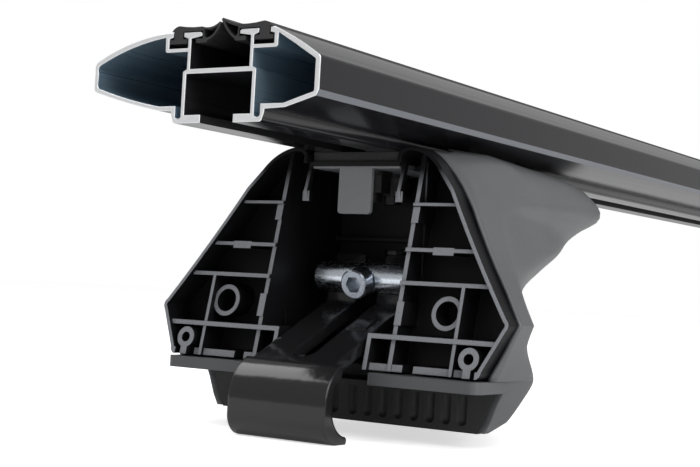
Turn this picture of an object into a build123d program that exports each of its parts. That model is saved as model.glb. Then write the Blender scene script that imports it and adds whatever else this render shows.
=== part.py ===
from build123d import *
import os
from math import cos, sin, radians

# Roof rack crossbar: one extruded bar with two rubber slot seals, standing on two identical feet.
# Model frame: X along the bar, Y across it with the leading edge at -Y, Z up.
# Inside a foot x runs inward from the bar's end, and z = 0 is the underside of the bar's web.

# Crossbar extrusion
bar_length = 1200.0
bar_leading = 34.7
bar_trailing = 47.1
bar_skin = 1.35
web = 1.55
web_underside = 0.2
nose_flat_top = 2.7
nose_flat_bottom = 2.4
leading_flat_bottom = 6.0
crown_height = 12.45
belly_depth = 10.4

# Accessory slot along the top of the bar, and the two grooves that hold its seals
slot_half = 10.65
slot_wall = 1.1
slot_mouth_half = 6.8
lip_under = 10.4
lip_top = 12.2
lip_slope = 0.6
groove_floor = 7.7
groove_floor_wall = 1.05
groove_outer = 18.8
groove_mouth_inner = 13.4
groove_mouth_outer = 17.4

# Fixing channel along the underside of the bar
channel_half = 11.85
channel_wall = 1.25
channel_mouth_half = 5.9
channel_lip = 2.35
flange_depth = 14.1
flange_half = 16.7
flange_corner = 1.5
flange_wall = 1.5

# Slot seals
seal_gap = 0.35
seal_rise_leading = 15.8
seal_rise_trailing = 14.8
seal_skin = 1.2
seal_centre_gap = 0.1

# Foot: raked front face, gasket and saddle
face_x = 64.2
face_level = -60.0
face_rake = 0.228
gasket_thickness = 3.05
slide_gap = 0.05
saddle_half = 17.4
saddle_skin = 0.8
fit_gap = 0.3

# Foot core: a tongue-shaped wall with ribs, closed behind by a floor
tongue_wall = 1.2
rim_proud = 2.4
core_depth = 12.0
core_floor = 2.0
core_bottom = -83.6
corner_half = 65.2
corner_level = -67.1
bottom_half = 57.2
bay_half = 25.0
bay_wall = 2.0
bay_back_x = 107.0
hook_gate_half = 16.9
hook_gate_top = -72.3
rib = 1.5
rib_setback = 0.4
side_rib_setback = -0.5
low_rib_setback = -0.9
strip_height = 2.2
strip_setback = 0.8
strip_gap = (30.2, 34.0)
strip_end = 51.0
stem_half = 1.3
boss_big_y = 42.1
boss_big_z = -64.9
boss_big_radius = 5.3
boss_big_bore = 3.8
boss_big_setback = 1.6
boss_small_y = 53.6
boss_small_z = -77.9
boss_small_radius = 3.45
boss_small_bore = 1.65
boss_small_setback = -1.8
window_half = 7.0
window_low = -53.6
window_top = -44.8
shelf_z = -42.0
shelf_thickness = 1.3
shelf_depth = 4.0
catch_x = 72.6
catch_knee = -26.8
catch_end = -30.5
catch_thickness = 2.0
lip_drop = 0.9

# Cowl over the core
cowl_wall = 2.0
cowl_rim = 1.1
cowl_rim_setback = 3.8
cowl_top = -11.6
skirt_x = 75.0
skirt_bottom = -101.0

# Base plate and roof pad
plate_top = -84.3
plate_thickness = 3.7
plate_front_x = 55.0
plate_half = 58.6
plate_corner = 3.0
plate_flare = 0.4
notch_half = 20.1
notch_corner = 3.0
plate_round = 2.0
notch_back_x = 95.0
pad_bottom = -101.3
flute_first = 3.6
flute_pitch = 5.7
flute_radius = 1.8
flute_depth = 1.2
flute_low = -99.4
flutes = 8
stud_y = 38.5
stud_radius = 3.0

# Clamp: dowel, screw, anchor and bracket
dowel_x = 86.5
dowel_z = -54.9
dowel_radius = 5.0
dowel_length = 38.0
screw_tilt = 16.0
screw_radius = 3.0
screw_length = 52.0
head_radius = 5.0
head_height = 6.0
head_seat = 4.0
key_across = 5.0
key_depth = 3.2
head_chamfer = 0.5
thread_gap = 0.1
anchor_radius = 6.0
anchor_length = 22.0
barrel_chamfer = 0.6
bracket_thickness = 1.5
bracket_half = 16.7
bracket_setback = 0.8
bracket_rear_half = 14.0
bracket_rear_low = 4.0
bracket_slot_gap = 0.6
bracket_slot_low = 7.0
bracket_slot_high = 6.0
flange_plate = 2.5
tab_width = 12.6
tab_drop = 16.4

# Door hook: one bent plate with two legs
hook_plate = 4.0
hook_half = 18.0
leg_half = 15.5
leg_slot_half = 4.0
hook_front_x = 36.7
hook_bottom = -106.1
hook_lip_x = 49.0
leg_slope = 0.47
leg_level = -72.3
leg_level_x = 65.6
hook_pin_gap = 0.15
hook_bend = 10.0
hook_lip_thickness = 2.4
slot_end_z = -80.5
leg_past_dowel = 3.0
leg_root_z = -90.0
leg_start_x = 45.5
stamp_x = (66.5, 73.0)
stamp_y = (-12.0, -5.0)
stamp_height = 0.5

# Fasteners
bolt_radius = 3.0
bolt_spacing = 13.0
bolt_outer_x = 86.0
bolt_head_half = 11.0
bolt_head_along = 6.2
bolt_head_thickness = 3.5
bolt_head_chamfer = 0.8
bolt_past_nut = 3.0
washer_radius = 6.2
washer_thickness = 1.2
nut_across = 10.0
nut_height = 6.0
small_screw_radius = 2.0
small_screw_head = 4.0
small_screw_length = 14.0
small_head_height = 2.2
small_key_radius = 1.4
small_key_depth = 1.8
core_post_x = 98.0
core_post_y = 29.5
core_post_radius = 4.5
core_post_top = -62.0
cowl_post_x = 123.0
cowl_post_y = 16.0
cowl_post_width = 8.0
cowl_post_top = -66.0

# Levels and places that follow from the sizes above
stand_height = -hook_bottom
saddle_z = -flange_depth - slide_gap - gasket_thickness
bracket_z = saddle_z - saddle_skin
plate_bottom = plate_top - plate_thickness
screw_axis = (cos(radians(screw_tilt)), 0, sin(radians(screw_tilt)))
bracket_flange_x = bay_back_x + bay_wall + fit_gap
anchor_x = bracket_flange_x + flange_plate + anchor_radius + slide_gap
anchor_z = dowel_z + (anchor_x - dowel_x) * sin(radians(screw_tilt)) / cos(radians(screw_tilt))
bolt_places = (bolt_outer_x, bolt_outer_x + bolt_spacing)
bracket_front_x = face_x + face_rake * (saddle_z - face_level) + bracket_setback
REACH = 90.0


def front(z):
    """Where the raked front face of the foot lies at height z."""
    return face_x + face_rake * (z - face_level)


def is_arc(step):
    return isinstance(step[0], tuple)


def outline(*steps):
    """Face inside a closed outline. A point is a line to it, a pair of points an arc through the first."""
    edges = []
    here = steps[0]
    for step in steps[1:] + (steps[0],):
        there = step[1] if is_arc(step) else step
        edges.append(ThreePointArc(here, step[0], there) if is_arc(step) else Line(here, there))
        here = there
    return make_face(Wire(edges))


def flipped(steps):
    """A run of an outline on the other side of the centre, drawn the other way round."""
    ends = [step[1] if is_arc(step) else step for step in steps]
    run = [(-ends[-1][0], ends[-1][1])]
    for index in range(len(steps) - 1, 0, -1):
        there = (-ends[index - 1][0], ends[index - 1][1])
        step = steps[index]
        run.append(((-step[0][0], step[0][1]), there) if is_arc(step) else there)
    return run


def along_x(face, start, end):
    """Prism along X from a face drawn in (y, z)."""
    return extrude(Plane.YZ.offset(start) * face, amount=end - start)


def across_y(face, start, end):
    """Prism along Y from a face drawn in (x, z)."""
    return extrude(Plane((0, end, 0), x_dir=(1, 0, 0), z_dir=(0, -1, 0)) * face, amount=end - start)


def block(x0, x1, y0, y1, z0, z1):
    return Pos((x0 + x1) / 2, (y0 + y1) / 2, (z0 + z1) / 2) * Box(abs(x1 - x0), abs(y1 - y0), abs(z1 - z0))


def upright(x, y, z0, z1, radius):
    """Round bar standing along Z between two heights."""
    return Pos(x, y, (z0 + z1) / 2) * Cylinder(radius, abs(z1 - z0))


def face_slab(near, far):
    """Slab parallel to the raked face, between two distances behind it."""
    return across_y(
        outline((front(0) + near, 0), (front(0) + far, 0),
                (front(hook_bottom) + far, hook_bottom), (front(hook_bottom) + near, hook_bottom)),
        -REACH, REACH)


def both_sides(solid):
    return solid + mirror(solid, about=Plane.XZ)


# Crossbar and seals
def bar_inside(side_edge):
    """Outline of one side of the bar from its slot floor round the edge to its channel roof."""
    wall = slot_half + slot_wall
    return [
        (slot_half, web), (slot_half, lip_under), (slot_mouth_half, lip_under + lip_slope),
        (slot_mouth_half, lip_top - 0.4), (slot_mouth_half + 0.6, lip_top), (groove_mouth_inner, lip_top),
        (groove_mouth_inner, lip_under + lip_slope), (wall, lip_under), (wall, groove_floor),
        (groove_outer, groove_floor), (groove_outer, lip_under + 0.2),
        (groove_mouth_outer, lip_under + lip_slope), (groove_mouth_outer, crown_height - 0.15),
        (groove_outer, crown_height), *side_edge,
        (flange_half, -belly_depth - 0.1), (flange_half - 0.7, 1.0 - flange_depth),
        (flange_half - flange_corner, -flange_depth),
        (channel_mouth_half, -flange_depth), (channel_mouth_half, channel_lip - flange_depth),
        (channel_half, channel_lip - flange_depth), (channel_half, web_underside)]


def chamber(*edge):
    """Hollow of one side of the bar, between the slot and channel walls and the outer skin."""
    wall = slot_half + slot_wall
    shoulder = channel_half + channel_wall
    roof = groove_floor - groove_floor_wall
    return outline((wall, roof), (groove_outer + 0.6, roof), (groove_outer + 1.3, roof + 0.7), *edge,
                   (flange_half - flange_wall, bar_skin - belly_depth),
                   (flange_half - flange_wall, bar_skin - flange_depth),
                   (shoulder, bar_skin - flange_depth), (shoulder, web - 0.7), (wall, web))


def crossbar():
    mid_top = (bar_trailing - 11.0, crown_height - 3.3)
    mid_low = (bar_trailing - 12.5, -belly_depth + 3.0)
    trailing = [
        (mid_top, (bar_trailing - 0.5, nose_flat_top + 1.9)), (bar_trailing, nose_flat_top),
        (bar_trailing, -nose_flat_bottom), (bar_trailing - 1.0, -nose_flat_bottom - 1.8),
        (mid_low, (groove_outer + 2.5, -belly_depth + 0.1))]
    slope_mid = ((groove_outer + bar_leading) / 2 + 0.2, crown_height - 4.0)
    leading = [
        (slope_mid, (bar_leading - 0.65, nose_flat_top + 1.3)), (bar_leading, nose_flat_top),
        (bar_leading, -leading_flat_bottom), (bar_leading - 0.5, -leading_flat_bottom - 1.1),
        (groove_outer + 4.9, -belly_depth + 0.2)]
    skin = bar_skin
    behind = chamber(
        (groove_outer + 1.4, crown_height - skin),
        ((mid_top[0], mid_top[1] - skin - 0.2), (bar_trailing - skin, nose_flat_top + 0.9)),
        (bar_trailing - skin - 0.5, -nose_flat_bottom - 0.6),
        ((mid_low[0], mid_low[1] + skin - 0.2), (groove_outer + 2.5, skin - belly_depth)))
    ahead = chamber(
        (groove_outer + 1.4, crown_height - skin - 0.4),
        (slope_mid[0] - 0.7, slope_mid[1] - skin), (bar_leading - skin - 0.3, nose_flat_top),
        (bar_leading - skin - 0.3, -leading_flat_bottom), (groove_outer + 4.2, skin - belly_depth))
    profile = outline(*bar_inside(trailing), *flipped(bar_inside(leading)))
    profile -= behind
    profile -= mirror(ahead, about=Plane.YZ)
    return along_x(profile, 0, bar_length)


def slot_seal(rise):
    """Rubber strip on the positive side: a foot in its groove, a skin over the lip and a hollow bulb."""
    inner = seal_centre_gap / 2
    under = lip_top + 0.3
    foot_in = slot_half + slot_wall + seal_gap
    foot_out = groove_outer - seal_gap
    foot_top = lip_under - seal_gap / 2
    foot_low = foot_top - seal_skin
    neck_in = groove_mouth_inner + seal_gap
    neck_out = groove_mouth_outer - seal_gap
    barb = slot_mouth_half - seal_gap
    profile = outline(
        (foot_in, foot_low), (foot_out, foot_low), (foot_out, foot_top), (neck_out, foot_top),
        (neck_out, crown_height + 0.15), (neck_out + 0.8, crown_height + 0.2),
        ((neck_out - 0.4, crown_height + 1.3), (neck_out - 2.0, under + seal_skin + 0.5)),
        ((slot_mouth_half + 3.0, under + seal_skin - 0.05), (slot_mouth_half, under + seal_skin)),
        ((slot_mouth_half / 2, rise - 1.35), (inner + 0.5, rise)), (inner, rise - 0.4),
        ((slot_mouth_half * 0.25, rise - 3.2), (barb - 1.6, lip_under - 0.8)),
        (barb - 1.2, foot_low), (barb + 2.4, foot_low), (barb + 2.4, foot_top), (barb, foot_top),
        (barb, under), (neck_in, under), (neck_in, foot_top), (foot_in, foot_top))
    bulb = outline(
        (barb - 0.3, under + 0.5), ((slot_mouth_half / 2, rise - 2.0), (inner + 1.2, rise - 1.05)),
        ((slot_mouth_half * 0.25 + 0.55, rise - 2.9), (barb - 1.4, lip_under - 0.1)),
        (barb - 0.5, lip_under + 0.3))
    return along_x(profile - bulb, 0, bar_length)


# Foot core
def tongue():
    """One side of the outline of the core's front wall, from the saddle to its bottom."""
    return [
        (saddle_half, bracket_z), (saddle_half, saddle_z + 2.0),
        ((saddle_half + 1.9, saddle_z + 3.9), (saddle_half + 6.0, saddle_z + 4.5)),
        ((saddle_half + 12.2, saddle_z + 1.9), (saddle_half + 17.1, saddle_z - 3.0)),
        (saddle_half + 22.3, saddle_z - 9.4),
        ((corner_half - 13.8, corner_level + 21.0), (corner_half - 0.9, corner_level + 1.5)),
        ((corner_half, corner_level), (corner_half - 0.5, corner_level - 1.8)),
        (bottom_half + 1.4, core_bottom + 2.2),
        ((bottom_half + 0.8, core_bottom + 0.6), (bottom_half, core_bottom))]


def core_ribs():
    """Ribs of one side as (y from, y to, z from, z to, distance behind the raked face)."""
    bay = bay_half
    gate = hook_gate_half
    return [
        (bay, bay + rib, core_bottom, saddle_z + 5.0, rib_setback),
        (bay, bay + rib + 1.0, -37.2, -32.0, 0.0), (bay, bay + rib + 1.0, -69.4, -62.0, 0.0),
        (46.9, 48.1, core_bottom, -56.0, side_rib_setback),
        (bay, 41.5, -31.8, -30.8, side_rib_setback), (bay, 51.0, -46.3, -45.1, side_rib_setback),
        (34.9, 42.2, -47.2, -44.8, side_rib_setback), (bay, 58.5, -56.8, -55.5, side_rib_setback),
        (gate, 63.0, hook_gate_top - rib, hook_gate_top, low_rib_setback),
        (gate, gate + rib, core_bottom, hook_gate_top, low_rib_setback),
        (gate, strip_gap[0], core_bottom, core_bottom + strip_height, strip_setback),
        (strip_gap[1], strip_end, core_bottom, core_bottom + strip_height, strip_setback),
        (bottom_half - 0.6, bottom_half + 1.6, core_bottom, core_bottom + strip_height, -rim_proud),
        (boss_small_y - stem_half, boss_small_y + stem_half, core_bottom, boss_small_z, boss_small_setback)]


def saddle_catch():
    """Leaning strip with a foot, hanging from one side of the saddle."""
    top_x = front(saddle_z) + 1.4
    lean = outline(
        (top_x, bracket_z + 0.4), (top_x + catch_thickness, bracket_z + 0.4),
        (catch_x + catch_thickness, catch_knee), (catch_x + catch_thickness, catch_end),
        (catch_x + 0.4, catch_end), (catch_x, catch_knee))
    catch = across_y(lean, saddle_half, saddle_half + tongue_wall)
    return catch + block(catch_x + 0.4, catch_x + catch_thickness, saddle_half - 0.7,
                         saddle_half + tongue_wall + 0.7, catch_end, catch_end + 3.4)


def foot_core():
    far = 2 * face_x
    half = tongue()
    plan = outline(*half, *flipped(half))
    inner = offset(plan, amount=-tongue_wall)
    pocket = face_slab(-REACH, core_depth - core_floor)
    body = along_x(plan, 0, far) & face_slab(-rim_proud, core_depth)
    body -= along_x(inner, 0, far) & pocket
    open_bottom = bottom_half - 0.6
    body -= block(0, far, -open_bottom, open_bottom, core_bottom - 1, core_bottom + 2 * tongue_wall) & pocket
    whole = along_x(plan, 0, far)
    for y0, y1, z0, z1, behind in core_ribs():
        body += both_sides(block(0, far, y0, y1, z0, z1)) & whole & face_slab(behind, core_depth)
    bay_end = bay_back_x + bay_wall
    body -= block(0, bay_end, -bay_half, bay_half, hook_gate_top, bracket_z)
    body -= block(0, bay_end, -hook_gate_half, hook_gate_half, -REACH, hook_gate_top + 1.0)
    depth_x = front(saddle_z) + 1.0
    side = block(depth_x, bay_end, bay_half, bay_half + bay_wall, core_bottom, saddle_z)
    side -= block(0, front(core_bottom) + core_depth, 0, REACH, -REACH, -REACH / 2)
    side += block(front(saddle_z) + core_depth - core_floor, bay_end, saddle_half - 0.6, bay_half + bay_wall,
                  saddle_z - 2.0, saddle_z)
    side += upright(core_post_x, core_post_y, core_bottom, core_post_top, core_post_radius)
    inside_bay = block(0, REACH * 2, 0, bay_half, -REACH, core_post_top)
    side -= inside_bay & upright(core_post_x, 0, -REACH, core_post_top + 2.0, bay_half)
    body += both_sides(side)
    body += both_sides(saddle_catch())
    body += block(front(saddle_z), bay_end, -saddle_half, saddle_half, bracket_z, saddle_z)
    body += block(front(saddle_z) - 0.4, bracket_front_x - 0.2, -saddle_half, saddle_half,
                  bracket_z - lip_drop, saddle_z)
    back = block(bay_back_x, bay_end, -bay_half - bay_wall, bay_half + bay_wall, core_bottom, bracket_z)
    back -= block(0, REACH * 2, -window_half, window_half, window_low, window_top)
    back -= block(0, REACH * 2, -bracket_half - fit_gap, bracket_half + fit_gap,
                  bracket_z - bracket_thickness, 0)
    back -= block(0, REACH * 2, -hook_gate_half, hook_gate_half, -REACH, dowel_z - 10.0)
    back += block(bay_back_x - shelf_depth, bay_back_x, -bay_half, bay_half, shelf_z,
                  shelf_z + shelf_thickness)
    body += back
    big = along_x(Pos(boss_big_y, boss_big_z) * Circle(boss_big_radius), 0, far)
    small = along_x(Pos(boss_small_y, boss_small_z) * Circle(boss_small_radius), 0, far)
    body += both_sides(big) & face_slab(boss_big_setback, core_depth)
    body += both_sides(small) & face_slab(boss_small_setback, core_depth)
    bores = along_x(Pos(boss_big_y, boss_big_z) * Circle(boss_big_bore), 0, far)
    bores += along_x(Pos(boss_small_y, boss_small_z) * Circle(boss_small_bore), 0, far)
    body -= both_sides(bores) & pocket
    for x in bolt_places:
        body -= upright(x, 0, saddle_z + 1, bracket_z - 1, bolt_radius + fit_gap)
    for y in (-core_post_y, core_post_y):
        body -= upright(core_post_x, y, core_bottom - 1, core_bottom + small_screw_length, small_screw_radius
                        + thread_gap)
    return body


# Cowl
def cowl_sections():
    """Plan of the cowl at each height: half width in front and where the side turns in, that place, how
    many degrees it turns, the far end, and how full the far corner is."""
    return [
        (cowl_top, 24.0, 30.0, 110.0, 8.0, 176.0, 0.80),
        (-14.5, 28.8, 36.0, 112.0, 8.0, 206.0, 1.02),
        (-18.5, 33.8, 39.4, 114.0, 8.0, 222.0, 1.02),
        (-23.5, 38.6, 41.6, 112.0, 6.0, 232.0, 0.97),
        (-27.5, 41.6, 43.0, 104.0, 5.0, 232.0, 0.86),
        (-31.5, 44.4, 45.0, 92.0, 13.0, 215.0, 0.95),
        (-36.0, 46.9, 47.5, 89.5, 15.0, 205.0, 0.81),
        (-42.5, 50.7, 51.6, 85.0, 13.0, 194.0, 0.66),
        (-49.0, 54.7, 55.8, 81.0, 16.0, 176.0, 0.55),
        (-57.5, 60.4, 61.3, 76.5, 30.0, 152.0, 0.55),
        (corner_level, corner_half + cowl_rim, corner_half + cowl_rim - 0.3, 76.0, 32.0, 142.0, 0.60),
        (-74.7, 63.4, 63.4, 77.0, 26.0, 140.0, 0.62),
        (plate_top, 59.0, 61.0, 88.0, 26.0, 140.0, 0.60),
        (-91.5, 55.6, 58.0, 86.0, 26.0, 139.0, 0.62),
        (-97.5, 53.4, 55.0, 83.0, 26.0, 137.0, 0.58),
        (skirt_bottom, 51.5, 51.3, 78.0, 26.0, 130.0, 0.55)]


def cowl_plan(section, inset, open_front):
    """One plan of the cowl, drawn in by inset, from its front rim to its far end."""
    z, front_half, half, turn_x, turn, end_x, fullness = section
    front_half -= inset
    half -= inset
    end_x -= inset
    start_x = front(z) + cowl_rim_setback - (open_front if inset else 0)
    reach = (end_x - turn_x) * 0.5
    lead = (turn_x + reach * cos(radians(turn)), half - reach * sin(radians(turn)))
    right = Bezier((turn_x, half, z), (*lead, z), (end_x, half * fullness, z), (end_x, 0, z))
    left = Bezier((end_x, 0, z), (end_x, -half * fullness, z), (lead[0], -lead[1], z), (turn_x, -half, z))
    return Wire([Line((start_x, -front_half, z), (start_x, front_half, z)),
                 Line((start_x, front_half, z), (turn_x, half, z)),
                 right, left, Line((turn_x, -half, z), (start_x, -front_half, z))])


def cowl_body(inset, open_front=20.0):
    plans = [make_face(cowl_plan(section, inset, open_front)) for section in cowl_sections()]
    return loft(plans, ruled=True)


def foot_cowl():
    far = bar_length
    outer = cowl_body(0)
    hollow = cowl_body(cowl_wall) & block(0, far, -REACH, REACH, -2 * REACH, cowl_top - cowl_wall)
    half = tongue()
    plan = offset(outline(*half, *flipped(half)), amount=fit_gap)
    hollow += along_x(plan, 0, 2 * face_x) & face_slab(-REACH, core_depth + fit_gap)
    groove = block(0, far, -saddle_half, saddle_half, saddle_z - fit_gap, 0)
    groove += block(0, bracket_flange_x + flange_plate + fit_gap, -bay_half - bay_wall - fit_gap,
                    bay_half + bay_wall + fit_gap, saddle_z - 3.0, 0)
    roof = block(bracket_flange_x + flange_plate + 2 * fit_gap, far, -saddle_half - cowl_wall,
                 saddle_half + cowl_wall, saddle_z - fit_gap - cowl_wall, 0)
    shell = outer - (hollow - roof)
    shell -= groove
    shell -= block(0, skirt_x, -REACH, REACH, -2 * REACH, plate_top)
    shell -= block(0, far, -REACH, REACH, -2 * REACH, skirt_bottom)
    posts = None
    for y in (-cowl_post_y, cowl_post_y):
        post = block(cowl_post_x - cowl_post_width / 2, far, y - cowl_post_width / 2,
                     y + cowl_post_width / 2, plate_top + fit_gap, cowl_post_top)
        post -= upright(cowl_post_x, y, plate_top - 1, plate_top + small_screw_length,
                        small_screw_radius + thread_gap)
        posts = post if posts is None else posts + post
    shell += posts & outer
    return shell.solids().sort_by(SortBy.VOLUME)[-1]


# Base plate and pad
def base_plate():
    inside = cowl_body(cowl_wall + fit_gap)
    inside &= block(skirt_x, bar_length, -REACH, REACH, plate_bottom, plate_top)
    arc_in = plate_corner * (1 - 0.5 ** 0.5)
    ledge = outline(
        (plate_front_x, -plate_half + plate_corner),
        ((plate_front_x + arc_in, -plate_half + arc_in), (plate_front_x + plate_corner, -plate_half)),
        (skirt_x + 0.1, -plate_half - plate_flare), (skirt_x + 0.1, plate_half + plate_flare),
        (plate_front_x + plate_corner, plate_half),
        ((plate_front_x + arc_in, plate_half - arc_in), (plate_front_x, plate_half - plate_corner)))
    ledge = extrude(Plane.XY.offset(plate_bottom) * ledge, amount=plate_thickness)
    ledge -= block(skirt_x - fit_gap, bar_length, -REACH, REACH, plate_bottom - 1, plate_top + 1)
    bridge = block(skirt_x - 1.0, skirt_x + 1.0, -plate_half + 3.0, plate_half - 3.0, plate_bottom, plate_top)
    plate = inside + ledge + bridge
    notch = RectangleRounded(2 * (notch_back_x - plate_front_x + 10), 2 * notch_half, notch_corner)
    notch = Plane.XY.offset(plate_bottom) * Pos(plate_front_x - 10, 0) * notch
    plate -= extrude(notch, amount=plate_thickness)
    upright_edges = plate.edges().filter_by(Axis.Z)
    inner = upright_edges.filter_by_position(Axis.Y, -notch_half - 0.1, notch_half + 0.1)
    plate = fillet(inner.sort_by(Axis.X)[:2], plate_round)
    for x, y in small_screw_places():
        plate -= small_screw(x, y, fit_gap / 2)
    for y in (-stud_y, stud_y):
        plate -= upright(core_post_x, y, plate_bottom, plate_top, stud_radius)
    return plate


def roof_pad():
    top = plate_bottom
    pad = cowl_body(cowl_wall + fit_gap) & block(skirt_x, bar_length, -REACH, REACH, skirt_bottom + 0.5, top)
    sole = cowl_plan(cowl_sections()[-1], cowl_wall + fit_gap, 0)
    sole = extrude(Pos(0, 0, pad_bottom - skirt_bottom) * make_face(sole), amount=3.0)
    pad += sole & block(skirt_x, bar_length, -REACH, REACH, pad_bottom, skirt_bottom + 2.0)
    for side in (-1, 1):
        for index in range(flutes):
            y = side * (flute_first + flute_pitch * index)
            x = skirt_x + flute_depth - flute_radius
            pad -= upright(x, y, flute_low + flute_radius, top - 2.0, flute_radius)
            pad -= Pos(x, y, flute_low + flute_radius) * Sphere(flute_radius)
        pad += upright(core_post_x, side * stud_y, top - 0.1, plate_top - 0.3, stud_radius - fit_gap / 2)
    return pad


# Small screws between the base plate, the core and the cowl
def small_screw_places():
    return [(x, side * y) for x, y in ((core_post_x, core_post_y), (cowl_post_x, cowl_post_y))
            for side in (-1, 1)]


def small_screw(x, y, grow=0.0):
    """Countersunk screw standing up from the underside of the base plate."""
    head = Cone(small_screw_head + grow, small_screw_radius + grow, small_head_height)
    shank = upright(x, y, plate_bottom + 1.0, plate_bottom + small_screw_length, small_screw_radius + grow)
    return Pos(x, y, plate_bottom + small_head_height / 2) * head + shank


def small_screws(places):
    group = []
    for x, y in places:
        screw = small_screw(x, y)
        hexagon = Plane.XY.offset(plate_bottom) * Pos(x, y) * RegularPolygon(small_key_radius, 6)
        socket = extrude(hexagon, amount=small_key_depth)
        group.append(screw - socket)
    return Compound(children=group)


# Clamp
def along_screw(start, end, radius):
    """Round bar on the screw's axis between two distances from the dowel's centre."""
    middle = (start + end) / 2
    centre = (dowel_x + middle * screw_axis[0], 0, dowel_z + middle * screw_axis[2])
    plane = Plane(origin=centre, x_dir=(0, 1, 0), z_dir=screw_axis)
    return plane * Cylinder(radius, end - start)


def clamp_screw():
    tip = screw_length - head_seat
    screw = along_screw(-head_seat - head_height, -head_seat, head_radius)
    screw = chamfer(screw.edges().filter_by(GeomType.CIRCLE).sort_by(Axis.X)[0], head_chamfer)
    screw += along_screw(-head_seat - 0.1, tip - 1.0, screw_radius)
    screw += along_screw(-head_seat, tip, screw_radius - 0.8)
    key_start = -head_seat - head_height
    centre = (dowel_x + key_start * screw_axis[0], 0, dowel_z + key_start * screw_axis[2])
    plane = Plane(origin=centre, x_dir=(0, 1, 0), z_dir=screw_axis)
    hexagon = RegularPolygon(key_across / 2, 6, major_radius=False)
    return screw - extrude(plane * hexagon, amount=key_depth)


def cross_dowel():
    dowel = Pos(dowel_x, 0, dowel_z) * Rot(90, 0, 0) * Cylinder(dowel_radius, dowel_length)
    dowel = chamfer(dowel.edges().filter_by(GeomType.CIRCLE), barrel_chamfer)
    dowel -= along_screw(-2 * dowel_radius, -head_seat + 0.02, head_radius + fit_gap)
    return dowel - along_screw(-2 * dowel_radius, 2 * dowel_radius, screw_radius + fit_gap)


def anchor_barrel():
    barrel = Pos(anchor_x, 0, anchor_z) * Rot(90, 0, 0) * Cylinder(anchor_radius, anchor_length)
    barrel = chamfer(barrel.edges().filter_by(GeomType.CIRCLE), barrel_chamfer)
    return barrel - along_screw(0, 2 * screw_length, screw_radius + thread_gap)


def clamp_bracket():
    flange_end = bracket_flange_x + flange_plate
    start = bracket_front_x
    under = bracket_z - bracket_thickness
    low = anchor_z - anchor_radius - bracket_rear_low
    plate = block(start, flange_end, -bracket_half, bracket_half, under, bracket_z)
    tab = block(start, start + bracket_thickness, -tab_width / 2, tab_width / 2, bracket_z - tab_drop,
                bracket_z)
    tab = fillet(tab.edges().filter_by(Axis.X).sort_by(Axis.Z)[:2], 1.2)
    rear = block(bracket_flange_x, flange_end, -bracket_rear_half, bracket_rear_half, low, bracket_z)
    slot_half_width = screw_radius + bracket_slot_gap
    slot = block(0, REACH * 2, -slot_half_width, slot_half_width, anchor_z - bracket_slot_low,
                 anchor_z + bracket_slot_high)
    bracket = plate + tab + (rear - slot)
    for x in bolt_places:
        bracket -= upright(x, 0, under - 1, bracket_z + 1, bolt_radius + fit_gap)
    return bracket


def leg_top(x):
    return leg_level + leg_slope * (x - leg_level_x)


def door_hook():
    """Bent plate: a lip under the door frame's edge, an upright, and two legs that hold the dowel."""
    drop = hook_plate * (1 + leg_slope ** 2) ** 0.5
    leg_end = dowel_x + leg_past_dowel
    back_x = hook_front_x + hook_plate
    lip_top_z = hook_bottom + hook_lip_thickness
    outer = FilletPolyline(
        (hook_lip_x, hook_bottom), (hook_front_x, hook_bottom), (hook_front_x, leg_top(hook_front_x)),
        (leg_end, leg_top(leg_end)), radius=[hook_plate + 3.0, hook_plate + hook_bend])
    bend = FilletPolyline((back_x, hook_bottom + 12.0), (back_x, leg_top(back_x) - drop),
                          (leg_end, leg_top(leg_end) - drop), radius=hook_bend - 3.0)
    hollow = ThreePointArc(bend @ 0, (hook_lip_x - 5.6, hook_bottom + 5.0), (hook_lip_x - 1.0, lip_top_z))
    tip = ThreePointArc(hollow @ 1, (hook_lip_x + 0.5, hook_bottom + hook_lip_thickness / 2), outer @ 0)
    section = make_face(Wire([*outer.edges(), *bend.edges(), hollow, tip, Line(outer @ 1, bend @ 1)]))
    hook = across_y(section, -hook_half, hook_half)
    eye = dowel_radius + hook_pin_gap + hook_plate
    cradle = Pos(dowel_x, dowel_z) * Circle(eye)
    behind = outline(
        (dowel_x, dowel_z), (dowel_x - eye / 3, dowel_z - 2 * eye), (dowel_x + 2 * eye, dowel_z - 2 * eye),
        (dowel_x + 2 * eye, dowel_z + 2 * eye), (dowel_x + eye, dowel_z + 2 * eye))
    hook += across_y(cradle & behind, -leg_half, leg_half)
    hook -= across_y(Pos(dowel_x, dowel_z) * Circle(dowel_radius + hook_pin_gap), -hook_half, hook_half)
    slot_x = hook_lip_x + 3.0
    hook -= block(slot_x, REACH * 2, -leg_slot_half, leg_slot_half, slot_end_z, 0)
    hook -= Pos(slot_x, 0, slot_end_z) * Cylinder(leg_slot_half, 3 * hook_plate)
    for side in (-1, 1):
        hook -= block(leg_start_x, REACH * 2, side * leg_half, side * REACH, leg_root_z, 0)
    x0, x1 = stamp_x
    stamp = across_y(
        outline((x0, leg_top(x0) - 1), (x1, leg_top(x1) - 1), (x1, leg_top(x1) + stamp_height),
                (x0, leg_top(x0) + stamp_height)), *stamp_y)
    return hook + stamp


# Saddle gasket and the bolts that hold the foot to the bar
def saddle_gasket():
    gasket = block(front(saddle_z) + 0.4, bay_back_x + bay_wall, -flange_half + 0.1, flange_half - 0.1,
                   saddle_z, saddle_z + gasket_thickness)
    for x in bolt_places:
        gasket -= upright(x, 0, saddle_z - 1, saddle_z + gasket_thickness + 1, bolt_radius + fit_gap)
    return gasket


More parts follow.
